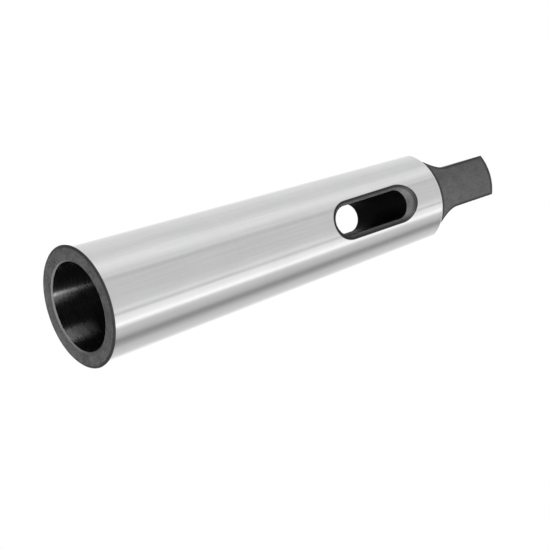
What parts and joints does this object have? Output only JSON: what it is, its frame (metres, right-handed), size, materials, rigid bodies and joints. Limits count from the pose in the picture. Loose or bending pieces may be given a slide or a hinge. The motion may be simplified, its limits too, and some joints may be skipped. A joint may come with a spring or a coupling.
{
  "type": "morse taper sleeve",
  "caption": "Morse taper reduction sleeve with a ground outer taper, a tapered socket, a drift slot through its side and a flat drive tang.",
  "frame": {"origin": "centre of the mouth face, the large end that the tool enters and that the sleeve stands on", "axes": "+Z along the sleeve's axis from the mouth face to the end of the tang, X straight through the drift slot and parallel to the flats of the tang, Y square to the flats"},
  "size_m": [0.0324, 0.0324, 0.14],
  "materials": {
    "steel": "satin"
  },
  "bodies": {
    "root": {"sleeve": "steel"}
  },
  "joints": []
}
